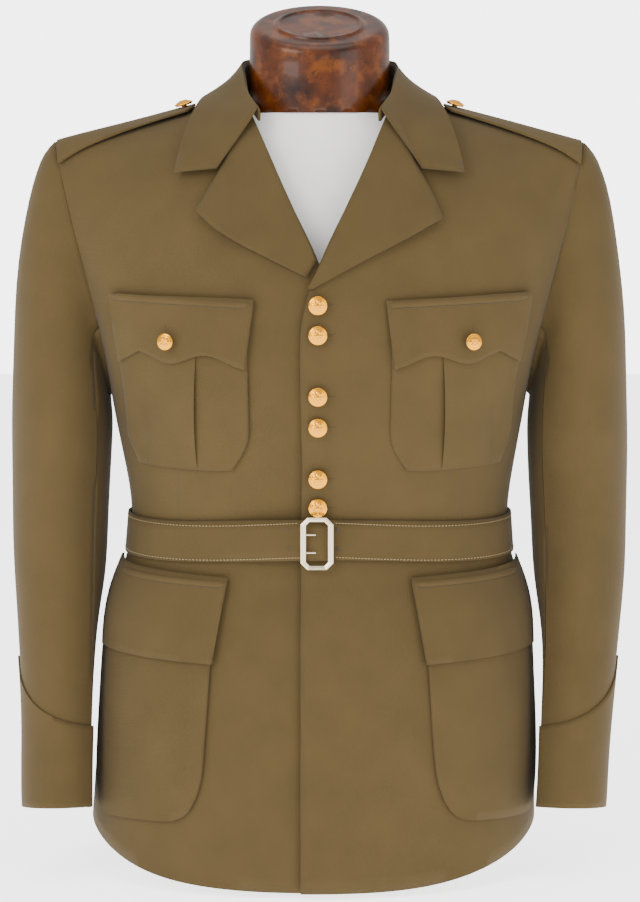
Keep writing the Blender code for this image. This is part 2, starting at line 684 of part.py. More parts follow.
# ---------------------------------------------------------------- belt, straps, buttons
def belt(skin, cloth):
    """The self-cloth belt: it starts under the buckle, goes round, and passes back over its start."""
    start_x, end_x = -13.0, 11.0
    half = BELT_HEIGHT / 2
    levels = (-half, half)
    rows = []
    for level in levels:
        rings = []
        for side in (1, -1):
            line = skin.girth(BELT_Z, side, steps=26)
            rings.append(line)
        loop = np.concatenate([rings[0], rings[1][-2:0:-1]])
        keep = [p for p in loop if not (p[1] < 0 and abs(p[0]) < 17)]
        first = [np.array([x, 0, 0]) for x in (start_x, 0.0, end_x)]
        path = first + keep + [np.array([x, 0, 0]) for x in (start_x - 6, start_x, 0.0, end_x)]
        line = []
        for order, p in enumerate(path):
            centre = p[1] <= 0 and abs(p[0]) < 25
            z = BELT_Z - BELT_DROP * ease(0, 190, abs(p[0])) + level
            if centre:
                surface = skin.front(p[0], z)
                out = np.array([0.0, -1.0, 0.0])
            else:
                away = unit(np.array([p[0], p[1] - SIDE_Y, 0.0]))
                start = np.array([0.0, SIDE_Y, z]) + away * 600
                surface = skin.cast(start, -away)[0]
                out = away
            over = BELT_WALL + 0.6 if order >= len(path) - 3 else 0.0
            rise = lap_rise(p[0]) if p[1] <= 0 else 0.0
            line.append((*surface, *out, BELT_LIFT + over + rise))
        rows.append(line)
    table = np.array(rows)
    points, lift = table[..., :3], table[..., 6:7]
    along = unit(np.gradient(points, axis=1))
    up = np.zeros_like(points)
    up[..., 2] = 1
    out = unit(np.cross(along, up))
    out = np.where((out * table[..., 3:6]).sum(-1, keepdims=True) < 0, -out, out)
    outer = points + out * lift
    wall("belt", outer, outer - out * BELT_WALL, cloth)


BUCKLE_X, BUCKLE_Z = -2.4, 340.0
BUCKLE_HALF = (15.6, 25.0)
BUCKLE_CUT = 6.5
BUCKLE_BAR = 5.0
BUCKLE_END = 3.8
BUCKLE_THICK = 3.0


def eight_sided(half_x, half_z, cut):
    """Corners of a rectangle with its corners cut off, in x and z."""
    x, z = half_x, half_z
    return [
        (x, z - cut), (x - cut, z), (cut - x, z), (-x, z - cut),
        (-x, cut - z), (cut - x, -z), (x - cut, -z), (x, cut - z),
    ]


def buckle(face_y, metal):
    """An eight-sided frame with bevelled bars, and two tongues on its left bar."""
    half_x, half_z = BUCKLE_HALF
    outside = eight_sided(half_x, half_z, BUCKLE_CUT)
    ridge = eight_sided(half_x - BUCKLE_BAR * 0.45, half_z - BUCKLE_END * 0.45, BUCKLE_CUT - 1.0)
    inside = eight_sided(half_x - BUCKLE_BAR, half_z - BUCKLE_END, BUCKLE_CUT - 3.0)
    loops = [
        (outside, 0.0), (outside, BUCKLE_THICK * 0.55), (ridge, BUCKLE_THICK),
        (inside, BUCKLE_THICK * 0.6), (inside, 0.0),
    ]
    verts = [
        (BUCKLE_X + x, face_y - depth, BUCKLE_Z + z) for loop, depth in loops for x, z in loop
    ]
    faces = []
    for k in range(len(loops)):
        for i in range(8):
            a, b = k * 8 + i, k * 8 + (i + 1) % 8
            n = (k + 1) % len(loops) * 8
            faces.append((a, b, n + (i + 1) % 8, n + i))
    add("buckle_frame", verts, faces, metal, smooth=20)
    for word, z in (("upper", 8.6), ("lower", -8.6)):
        bpy.ops.mesh.primitive_cylinder_add(vertices=10, radius=0.9 * MM, depth=9.0 * MM)
        tongue = bpy.context.object
        tongue.name = f"buckle_tongue_{word}"
        tongue.rotation_euler = (0, math.pi / 2, 0)
        left = BUCKLE_X - half_x + BUCKLE_BAR + 0.4
        tongue.location = Vector((left + 4.5, face_y - 1.2, BUCKLE_Z + z)) * MM
        tongue.data.materials.append(metal)
        for collection in tongue.users_collection:
            collection.objects.unlink(tongue)
        PARTS.objects.link(tongue)


STRAP_INNER, STRAP_OUTER = 121.0, 258.0
STRAP_HALF = (21.0, 26.0)
STRAP_Y = 4.0


def shoulder_strap(name, side, skin, cloth, columns=6, rows=4):
    """A strap along the shoulder seam, rounded at its neck end, under the sleeve seam at its outer end."""
    grid = []
    for r in np.linspace(-1, 1, rows + 1):
        line = []
        for c in np.linspace(0, 1, columns + 1):
            half = STRAP_HALF[0] + (STRAP_HALF[1] - STRAP_HALF[0]) * c
            nose = 7.0 * abs(r) ** 2
            x = STRAP_INNER + nose + (STRAP_OUTER - STRAP_INNER - nose) * c
            line.append(skin.top(side * x, STRAP_Y + r * half))
        grid.append(line)
    points = np.array(grid)
    normals = grid_normals(points, (side * 180, STRAP_Y, 500))
    laid(name, points, normals, 4.2, TURNED, cloth)
    return points, normals


def button(name, place, axis, diameter, metal):
    """A domed button on a shank, its face a shallow dome with a rolled rim."""
    r = diameter / 2
    profile = [(0, r * 0.62), (r * 0.55, r * 0.55), (r * 0.88, r * 0.38), (r, r * 0.20), (r * 0.9, r * 0.05)]
    profile += [(r * 0.28, 0.0), (r * 0.25, -1.6), (0, -1.6)]
    return turned(name, profile, place, axis, metal)


# ---------------------------------------------------------------- dress form
Section = namedtuple("Section", "z half_x front back square")
FORM = [
    Section(0, 148, 74, 74, 2.0),
    Section(14, 164, 98, 92, 2.1),
    Section(60, 176, 124, 108, 2.3),
    Section(160, 178, 130, 113, 2.3),
    Section(250, 170, 120, 106, 2.3),
    Section(345, 158, 106, 92, 2.2),
    Section(430, 172, 117, 100, 2.2),
    Section(520, 184, 122, 106, 2.2),
    Section(590, 192, 112, 108, 2.1),
    Section(650, 198, 96, 104, 2.0),
    Section(688, 192, 80, 90, 2.0),
    Section(712, 160, 68, 78, 2.0),
    Section(729, 120, 60, 71, 2.0),
    Section(740, 92, 57, 67, 2.0),
    Section(748, 74, 55, 64, 2.0),
]
FORM_Y = 2.0
NECK_Z = 748.4
NECK_TILT = math.radians(24)
NECK_RX, NECK_RY = 69.5, 63.0
NECK_TOP = (0.0, 0.0, 834.0)


def form_torso(cover):
    """The smooth body of the form, flat at its base and closed at its neck."""
    around = 28
    rings = []
    for place in np.linspace(0, len(FORM) - 1, 20):
        s = between(FORM, place)
        ring = []
        for k in range(around):
            angle = 2 * math.pi * k / around
            c, n = math.cos(angle), math.sin(angle)
            x = math.copysign(abs(n) ** (2 / s.square), n) * s.half_x
            depth = s.front if c > 0 else s.back
            y = -math.copysign(abs(c) ** (2 / s.square), c) * depth + FORM_Y
            ring.append((x, y, s.z))
        rings.append(ring)
    verts = np.array(rings).reshape(-1, 3)
    faces = ring_faces(len(rings), around)
    add("form_torso", verts, faces, cover)


def form_neck(wood):
    """The neck block: an oval column whose rounded top leans forward, with a turned ring on it."""
    around = 32
    rounding = 11.0
    stations = [(0.0, 0.0, 0.0)] + [(t, 0.0, 0.0) for t in (0.35, 0.7)]
    for a in np.radians([0, 25, 50, 75, 90]):
        stations.append((1.0, rounding * (1 - math.cos(a)), rounding * math.sin(a)))
    top = np.array(NECK_TOP)
    foot = np.array([0.0, 4.0, NECK_Z])
    crown = top - rounding * np.array([0, -math.sin(NECK_TILT), math.cos(NECK_TILT)])
    rings = []

    def ring(centre, rx, ry, tilt):
        points = []
        for k in range(around):
            a = 2 * math.pi * k / around
            y = -math.cos(a) * ry
            points.append(
                centre + [math.sin(a) * rx, y * math.cos(tilt), y * math.sin(tilt)]
            )
        return points

    for share, inset, rise in stations:
        tilt = NECK_TILT * share
        up = np.array([0, -math.sin(tilt), math.cos(tilt)])
        centre = foot + (crown - foot) * share + up * rise
        rx = 70.0 + (NECK_RX - 70.0) * share - inset
        ry = 59.0 + (NECK_RY - 59.0) * share - inset
        rings.append(ring(centre, rx, ry, tilt))
    up = np.array([0, -math.sin(NECK_TILT), math.cos(NECK_TILT)])
    for radius, rise in ((44.5, 0.0), (43.0, 2.2), (40.5, 2.2), (38.5, 0.6)):
        rings.append(ring(top + up * rise, radius, radius * NECK_RY / NECK_RX, NECK_TILT))
    verts = np.array(rings).reshape(-1, 3)
    faces = ring_faces(len(rings), around)
    add("form_neck", verts, faces, wood, smooth=35)


# ---------------------------------------------------------------- assembly
def clear_scene():
    for old in list(bpy.data.objects):
        bpy.data.objects.remove(old)


def main():
    cloth = material("drab_cloth", (0.205, 0.142, 0.056), 0.85)
    gilt = material("gilt_brass", (0.80, 0.52, 0.14), 0.28, 1.0)
    nickel = material("pale_nickel", (0.62, 0.55, 0.42), 0.35, 1.0)
    cover = material("form_cover", (0.72, 0.71, 0.69), 0.8)
    wood = material("burl_neck", (0.16, 0.055, 0.012), 0.2)

    skin = Skin()
    armhole, armhole_normals = body_panels(cloth)
    sleeves(armhole, armhole_normals, cloth)
    collar(skin, cloth)
    for side, word in ((1, "left"), (-1, "right")):
        lapel(f"lapel_{word}", side, skin, cloth)
        pocket(f"chest_pocket_{word}", CHEST_POCKET, side, skin, cloth)
        points, normals = flap(f"chest_flap_{word}", CHEST_FLAP, side, skin, cloth)
        at = (points[1, 5] + points[1, 6]) / 2 + normals[1, 5] * (FLAP_LIFT + 2.2)
        button(f"chest_button_{word}", at, normals[1, 5], POCKET_BUTTON, gilt)
        pocket(f"hip_pocket_{word}", HIP_POCKET, side, skin, cloth, columns=12)
        flap(f"hip_flap_{word}", HIP_FLAP, side, skin, cloth)
        points, normals = shoulder_strap(f"shoulder_strap_{word}", side, skin, cloth)
        seat = (points[2, 0] + points[2, 1]) / 2 + normals[2, 1] * (4.2 + 2.0)
        button(f"shoulder_button_{word}", seat, normals[2, 1], FRONT_BUTTON, gilt)
    for order, z in enumerate(BUTTON_ZS, 1):
        at = skin.front(BUTTON_X, z) + [0, -(LAP_LIFT + 2.6), 0]
        button(f"front_button_{order}", at, (0, -1, 0), FRONT_BUTTON, gilt)
    belt(skin, cloth)
    nearest = min(skin.front(x, z)[1] for x in (0, 16) for z in (BELT_Z - 20, BELT_Z, BELT_Z + 20))
    face = nearest - LAP_LIFT - BELT_LIFT - BELT_WALL - 1.4
    buckle(face, nickel)
    form_torso(cover)
    form_neck(wood)


clear_scene()
PARTS = bpy.data.collections.new("dress_tunic_on_form")
bpy.context.scene.collection.children.link(PARTS)
main()
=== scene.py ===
"""The look of a belted dress tunic on a limbless form: soft cloth pieces, their seams and fastenings,
gilt buttons, a plated buckle, a burl neck block and a pale studio."""

import math
from itertools import combinations

import bmesh
import bpy
import numpy as np
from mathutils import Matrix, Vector
from mathutils.bvhtree import BVHTree


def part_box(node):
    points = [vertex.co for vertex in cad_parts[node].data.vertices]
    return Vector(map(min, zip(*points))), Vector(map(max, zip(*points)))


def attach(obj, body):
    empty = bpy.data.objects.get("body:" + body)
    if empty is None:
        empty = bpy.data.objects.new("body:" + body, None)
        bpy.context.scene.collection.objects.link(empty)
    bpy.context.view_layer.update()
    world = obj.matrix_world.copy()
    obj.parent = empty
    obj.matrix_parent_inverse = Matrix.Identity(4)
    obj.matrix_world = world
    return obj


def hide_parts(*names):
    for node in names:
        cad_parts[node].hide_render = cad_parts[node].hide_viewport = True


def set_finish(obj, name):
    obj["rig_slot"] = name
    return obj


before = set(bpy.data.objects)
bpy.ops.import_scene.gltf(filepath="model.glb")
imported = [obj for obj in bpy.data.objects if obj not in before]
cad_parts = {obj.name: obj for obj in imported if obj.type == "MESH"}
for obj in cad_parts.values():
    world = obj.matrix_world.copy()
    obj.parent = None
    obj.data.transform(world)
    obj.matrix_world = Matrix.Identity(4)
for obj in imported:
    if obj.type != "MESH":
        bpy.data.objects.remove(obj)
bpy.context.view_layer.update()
MM = 0.001


# ---------------------------------------------------------------- materials
class Value:
    """A number in a material, with the usual arithmetic."""

    def __init__(self, look, socket):
        self.look, self.socket = look, socket

    def _do(self, operation, a, b):
        return self.look.node("Math", dict(operation=operation), {0: a, 1: b})[0]

    def __add__(self, other):
        return self._do("ADD", self, other)

    def __sub__(self, other):
        return self._do("SUBTRACT", self, other)

    def __mul__(self, other):
        return self._do("MULTIPLY", self, other)

    __radd__, __rmul__ = __add__, __mul__

    def sine(self):
        return self._do("SINE", self, 0.0)


class Look:
    """A material built from nodes."""

    def __init__(self, name, **constants):
        self.material = bpy.data.materials.new(name)
        self.material.use_nodes = True
        self.nodes = self.material.node_tree.nodes
        self.links = self.material.node_tree.links
        self.shader = self.nodes["Principled BSDF"]
        for label, value in constants.items():
            label = label.replace("_", " ").title().replace("Ior", "IOR")
            self.shader.inputs[label].default_value = value

    def node(self, kind, settings, inputs):
        made = self.nodes.new("ShaderNode" + kind)
        for key, value in settings.items():
            setattr(made, key, value)
        for key, value in inputs.items():
            if isinstance(value, Value):
                self.links.new(value.socket, made.inputs[key])
            else:
                made.inputs[key].default_value = value
        return [Value(self, out) for out in made.outputs]

    def place(self):
        """Where a point is on the object, in metres."""
        return self.node("TexCoord", {}, {})[3]

    def parts(self, vector):
        return self.node("SeparateXYZ", {}, {0: vector})

    def noise(self, scale, detail=2.0, where=None, rough=0.5):
        inputs = {"Vector": where or self.place(), "Scale": scale, "Detail": detail, "Roughness": rough}
        return self.node("TexNoise", {}, inputs)[0]

    def ramp(self, value, low, high):
        """0 at low, 1 at high."""
        return self.node("MapRange", {}, {0: value, 1: low, 2: high, 3: 0.0, 4: 1.0})[0]

    def blend(self, share, first, second):
        inputs = {0: share, 6: first, 7: second}
        return self.node("Mix", dict(data_type="RGBA"), inputs)[2]

    def feed(self, label, value):
        self.links.new(value.socket, self.shader.inputs[label])

    def bump(self, height, strength, distance):
        inputs = {"Strength": strength, "Distance": distance, "Height": height}
        self.feed("Normal", self.node("Bump", {}, inputs)[0])


def shade(colour, factor):
    return (*(c * factor for c in colour), 1.0)


DRAB = (0.066, 0.0435, 0.0150)
TWILL_RIB, LINEN_THREAD = 1.9 * MM, 1.4 * MM


def cloth_look(name, tone):
    """Wool twill: fine diagonal ribs, a little fuzz, and slightly uneven dye."""
    look = Look(name, roughness=0.88, sheen_weight=0.05, sheen_roughness=0.45, specular_ior_level=0.15)
    x, y, z = look.parts(look.place())[:3]
    rib = ((x + 0.8 * y + z) * (2 * math.pi / TWILL_RIB)).sine()
    fuzz = look.noise(900.0, 3.0)
    patch = look.noise(26.0, 3.0)
    broad = look.noise(5.0, 1.0)
    share = look.ramp(0.35 * fuzz + 0.40 * patch + 0.25 * broad + 0.02 * rib, 0.32, 0.68)
    look.feed("Base Color", look.blend(share, shade(DRAB, tone * 0.86), shade(DRAB, tone * 1.12)))
    look.feed("Roughness", 0.80 + 0.16 * fuzz)
    look.bump(0.55 * fuzz + 0.18 * rib + 0.5 * patch, 0.35, 0.6 * MM)
    return look.material


def plain_look(name, colour, roughness, metallic=0.0, grain=400.0, uneven=0.2, bump=0.2):
    """One colour with a fine grain in its tone, gloss and height."""
    look = Look(name, metallic=metallic, roughness=roughness)
    grain_value = look.noise(grain, 3.0)
    look.feed("Base Color", look.blend(grain_value, shade(colour, 1 - uneven), shade(colour, 1 + uneven)))
    look.feed("Roughness", roughness + (grain_value - 0.5) * 0.15)
    look.bump(grain_value, bump, 0.1 * MM)
    return look.material


def burl_look():
    """Polished burl: dark clouds and specks in a red-brown ground, under a clear coat."""
    look = Look("polished_burl", roughness=0.30, specular_ior_level=0.2,
                coat_weight=0.10, coat_roughness=0.05)
    swirl = look.noise(22.0, 4.0, rough=0.6)
    bent = look.node("VectorMath", dict(operation="ADD"), {0: look.place(), 1: look.node(
        "TexNoise", {}, {"Vector": look.place(), "Scale": 18.0, "Detail": 2.0})[1]})[0]
    specks = look.node("TexVoronoi", {}, {"Vector": bent, "Scale": 34.0})[0]
    cloud = look.ramp(swirl, 0.34, 0.62)
    ground = look.blend(cloud, (0.009, 0.0018, 0.0003, 1), (0.066, 0.0145, 0.0010, 1))
    bright = look.ramp(look.noise(60.0, 4.0), 0.50, 0.66)
    ground = look.blend(bright * 0.6, ground, (0.14, 0.038, 0.0026, 1))
    dark = look.ramp(specks, 0.30, 0.08)
    look.feed("Base Color", look.blend(dark * 0.75, ground, (0.010, 0.0025, 0.0006, 1)))
    look.feed("Roughness", 0.26 + 0.12 * swirl)
    return look.material


def linen_look():
    """The form's cover: a plain pale weave."""
    look = Look("linen_cover", roughness=0.85)
    x, y, z = look.parts(look.place())[:3]
    turns = 2 * math.pi / LINEN_THREAD
    weave = ((x + y) * turns).sine() + (z * turns).sine()
    cloud = look.noise(30.0, 3.0)
    look.feed("Base Color", look.blend(cloud, (0.66, 0.65, 0.62, 1), (0.76, 0.75, 0.73, 1)))
    look.feed("Roughness", 0.8 + 0.1 * cloud)
    look.bump(0.5 * weave + cloud, 0.2, 0.3 * MM)
    return look.material


CLOTH = cloth_look("drab_twill", 1.0)
CLOTH_DEEP = cloth_look("drab_twill_facing", 0.95)
CLOTH_LIGHT = cloth_look("drab_twill_strap", 1.06)
THREAD = plain_look("drab_thread", (0.30, 0.225, 0.11), 0.7, uneven=0.1)
# painted shade: this near-black colour stands in for the shade in the lines under the flap bands, the dart
# grooves, the buttonhole slits and the eyelet holes
SHADOW_THREAD = plain_look("thread_and_painted_shade", (0.045, 0.03, 0.012), 0.85, uneven=0.15)
GILT = plain_look("gilt", (0.74, 0.31, 0.012), 0.22, 1.0, grain=900.0, uneven=0.08, bump=0.05)
NICKEL = plain_look("plated_buckle", (0.66, 0.56, 0.40), 0.30, 1.0, grain=700.0, uneven=0.10, bump=0.08)
BURL = burl_look()
LINEN = linen_look()


# ---------------------------------------------------------------- making pieces
def link(name, mesh, look, slot, replaced=()):
    """Shows a mesh as a piece of the object."""
    made = bpy.data.objects.new(name, mesh)
    bpy.context.scene.collection.objects.link(made)
    mesh.materials.clear()
    mesh.materials.append(look)
    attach(made, "root")
    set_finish(made, slot)
    if replaced:
        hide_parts(*replaced)
    return made


def from_points(name, verts, faces, look, slot, replaced=(), sharp=50.0):
    mesh = bpy.data.meshes.new(name)
    mesh.from_pydata([tuple(v) for v in verts], [], [tuple(f) for f in faces])
    shape = bmesh.new()
    shape.from_mesh(mesh)
    bmesh.ops.recalc_face_normals(shape, faces=shape.faces)
    shape.to_mesh(mesh)
    shape.free()
    mesh.shade_smooth()
    mesh.set_sharp_from_angle(angle=math.radians(sharp))
    return link(name, mesh, look, slot, replaced)


def softly(point, normal, strength):
    """How far cloth stands out of its smooth shape: broad, uneven swells that every layer shares."""
    x, y, z = point
    swell = math.sin(23 * x + 9 * z + 1.3) * math.sin(17 * z - 6 * y + 0.4)
    swell += 0.6 * math.sin(41 * z + 13 * x + 19 * y) * math.sin(31 * x - 7 * z + 2.1)
    return normal * (strength * swell)


BODY_Y = 0.005          # the body's middle line, behind the origin
SHOULDER_FOOT_Z = 0.60  # above this, inward also means down
ARM_X, ELBOW_Z, FOREARM_SLOPE = 0.255, 0.30, 0.26


def wearer_axis(point):
    """The point on the body's middle line that is inward of a point."""
    return Vector((0, BODY_Y, min(point.z, SHOULDER_FOOT_Z)))


def arm_axis(point):
    """The point on the arm's middle line level with a point."""
    swing = max(0.0, ELBOW_Z - point.z) * FOREARM_SLOPE
    return Vector((math.copysign(ARM_X, point.x), -swing, point.z))


TUCK_OUT, TUCK_IN = 3.0 * MM, 2.4 * MM
SEWN_FACE_AREA = 2.2 * MM * 0.12  # an edge face is the cloth's thickness wide
SEWN_REACH, SEWN_FACING = 1.6 * MM, 0.6


def tuck(shape, beside, axis):
    """Folds a seam allowance from each sewn edge in under the piece that it meets."""
    shape.faces.ensure_lookup_table()
    shape.normal_update()
    edges = []
    for face in shape.faces:
        if face.calc_area() > SEWN_FACE_AREA:
            continue
        middle = face.calc_center_median()
        near, _, _, far = beside.find_nearest(middle)
        if near is None or far >= SEWN_REACH:
            continue
        if (near - middle).normalized().dot(face.normal) > SEWN_FACING:
            edges.append(face)
    if not edges:
        return
    fold = sum((f.normal for f in edges), Vector()) / len(edges)
    made = bmesh.ops.extrude_face_region(shape, geom=edges)
    bmesh.ops.delete(shape, geom=edges, context="FACES_ONLY")
    moved = [g for g in made["geom"] if isinstance(g, bmesh.types.BMVert)]
    for vertex in moved:
        faces = [f for f in vertex.link_faces if all(v in moved for v in f.verts)]
        out = sum((f.normal for f in faces), Vector()).normalized() if faces else fold.normalized()
        inward = axis(vertex.co) - vertex.co
        inward = (inward - out * inward.dot(out)).normalized()
        vertex.co += out * TUCK_OUT + inward * TUCK_IN


ROUND_CREASE = 35.0             # pieces creased below this angle keep no sharp corners
CORNER_BEND, CORNER_TURN = 0.8, -0.80  # how square a corner's cut edges meet, as cosines


def is_corner(vertex, layer):
    """Whether three cut edges meet here, one at least turning a real corner."""
    bends = [e for e in vertex.link_edges if e[layer] > 0]
    if len(bends) != 3:
        return False
    directions = [(e.other_vert(vertex).co - vertex.co).normalized() for e in bends]
    turns = [a.dot(b) for a, b in combinations(directions, 2)]
    return min(abs(t) for t in turns) < CORNER_BEND and min(turns) > CORNER_TURN


def smooth_piece(node, look, slot, levels=2, strength=0.7 * MM, crease=38.0,
                 beside=None, axis=None, settle=0.0):
    """A CAD node as a smooth mesh: facets rounded, cut edges kept, and settled onto what is under it."""
    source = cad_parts[node].data
    shape = bmesh.new()
    shape.from_mesh(source)
    bmesh.ops.remove_doubles(shape, verts=shape.verts, dist=1e-6)
    bmesh.ops.join_triangles(shape, faces=shape.faces, angle_face_threshold=math.radians(35),
                             angle_shape_threshold=math.radians(60))
    if beside is not None:
        tuck(shape, beside, axis)
    layer = shape.edges.layers.float.new("crease_edge")
    for edge in shape.edges:
        if len(edge.link_faces) == 2 and edge.calc_face_angle() > math.radians(crease):
            edge[layer] = 1.0
    corners = shape.verts.layers.float.new("crease_vert")
    for vertex in shape.verts:
        if crease > ROUND_CREASE and is_corner(vertex, layer):
            vertex[corners] = 1.0
    mesh = bpy.data.meshes.new(node)
    shape.to_mesh(mesh)
    shape.free()
    made = link(node + "_soft", mesh, look, slot, (node,))
    smoother = made.modifiers.new("smooth", "SUBSURF")
    smoother.levels = smoother.render_levels = levels
    bpy.context.view_layer.update()
    graph = bpy.context.evaluated_depsgraph_get()
    final = bpy.data.meshes.new_from_object(made.evaluated_get(graph))
    made.modifiers.remove(smoother)
    made.data = final
    normals = [v.normal.copy() for v in final.vertices]
    if strength:
        for vertex, normal in zip(final.vertices, normals):
            vertex.co += softly(vertex.co, normal, strength)
    if settle:
        for vertex in final.vertices:
            middle = arm_axis(vertex.co) if "cuff" in node else Vector((0, BODY_Y, vertex.co.z))
            vertex.co += (middle - vertex.co).normalized() * settle
    final.shade_smooth()
    final.set_sharp_from_angle(angle=math.radians(crease + 12))
    return made


# ---------------------------------------------------------------- the garment
SIDES = (("left", 1), ("right", -1))
soft = {}
SETTLE = {"cuff": 1.7 * MM, "hip_pocket": 2.3 * MM, "chest_pocket": 2.3 * MM, "hip_flap": 2.6 * MM,
          "chest_flap": 3.2 * MM}


def solids(*names):
    """The CAD faces of these nodes, to find what lies beside a seam."""
    verts, faces = [], []
    for name in names:
        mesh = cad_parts[name].data
        base = len(verts)
        verts += [v.co.copy() for v in mesh.vertices]
        faces += [[base + i for i in p.vertices] for p in mesh.polygons]
    return BVHTree.FromPolygons(verts, faces)


for word, _ in SIDES:
    soft[f"front_{word}"] = smooth_piece(f"front_{word}", CLOTH, "drab_cloth",
                                         beside=solids(f"back_{word}"), axis=wearer_axis)
    soft[f"back_{word}"] = smooth_piece(f"back_{word}", CLOTH, "drab_cloth",
                                        beside=solids("back_left" if word == "right" else "back_right"),
                                        axis=wearer_axis)
    for part in ("top_sleeve", "under_sleeve"):
        panels = solids(f"front_{word}", f"back_{word}")
        soft[f"{part}_{word}"] = smooth_piece(f"{part}_{word}", CLOTH, "drab_cloth",
                                              beside=panels, axis=wearer_axis)
    for part, settle in SETTLE.items():
        soft[f"{part}_{word}"] = smooth_piece(f"{part}_{word}", CLOTH, "drab_cloth", settle=settle)
    soft[f"lapel_{word}"] = smooth_piece(f"lapel_{word}", CLOTH_DEEP, "drab_cloth")
    soft[f"shoulder_strap_{word}"] = smooth_piece(f"shoulder_strap_{word}", CLOTH_LIGHT, "drab_cloth")
soft["collar"] = smooth_piece("collar", CLOTH_DEEP, "drab_cloth")
soft["belt"] = smooth_piece("belt", CLOTH, "drab_cloth")
smooth_piece("form_torso", LINEN, "form_cover", strength=0)
smooth_piece("form_neck", BURL, "burl_neck", strength=0, crease=30.0)

bpy.context.view_layer.update()


def surface(*names):
    """Something to lay details on: the shown faces of these pieces."""
    verts, faces = [], []
    for name in names:
        mesh = soft[name].data
        base = len(verts)
        verts += [v.co.copy() for v in mesh.vertices]
        faces += [[base + i for i in p.vertices] for p in mesh.polygons]
    return BVHTree.FromPolygons(verts, faces)


def seen(x, z, tree):
    """The point and outward direction seen from the front at x, z, in metres."""
    hit, normal, _, _ = tree.ray_cast(Vector((x, -1, z)), Vector((0, 1, 0)))
    if hit is None:
        return None, None
    return hit, normal if normal.y < 0 else -normal


def ridge(name, path, half_width, height, look, tree, sink=0.3 * MM, sides=5):
    """A low rounded ridge laid along x, z points on the front, with closed ends."""
    points = []
    for x, z in path:
        hit, normal = seen(x, z, tree)
        if hit is not None:
            points.append((hit, normal))
    if len(points) < 2:
        return None
    verts, faces = [], []
    for i, (point, normal) in enumerate(points):
        ahead = points[min(i + 1, len(points) - 1)][0] - points[max(i - 1, 0)][0]
        across = normal.cross(ahead).normalized()
        end = min(i, len(points) - 1 - i)
        taper = min(1.0, 0.35 + 0.65 * end)
        for k in range(sides):
            angle = math.pi * k / (sides - 1)
            out = math.sin(angle) * height * taper
            verts.append(point + across * math.cos(angle) * half_width * taper + normal * (out - sink))
    for i in range(len(points) - 1):
        for k in range(sides):
            a, b = i * sides + k, i * sides + (k + 1) % sides
            faces.append((a, b, b + sides, a + sides))
    faces.append(range(sides))
    faces.append(range(len(verts) - sides, len(verts)))
    return from_points(name, verts, faces, look, "drab_cloth", sharp=80)


def line(a, b, steps):
    """Evenly spaced x, z points from a to b."""
    return [(a[0] + (b[0] - a[0]) * t, a[1] + (b[1] - a[1]) * t) for t in np.linspace(0, 1, steps + 1)]


def joined(name, pieces):
    """Several small pieces as one."""
    pieces = [p for p in pieces if p is not None]
    shape = bmesh.new()
    for piece in pieces:
        shape.from_mesh(piece.data)
    look = pieces[0].data.materials[0]
    slot = pieces[0]["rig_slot"]
    for piece in pieces:
        bpy.data.objects.remove(piece)
    mesh = bpy.data.meshes.new(name)
    shape.to_mesh(mesh)
    shape.free()
    return link(name, mesh, look, slot)
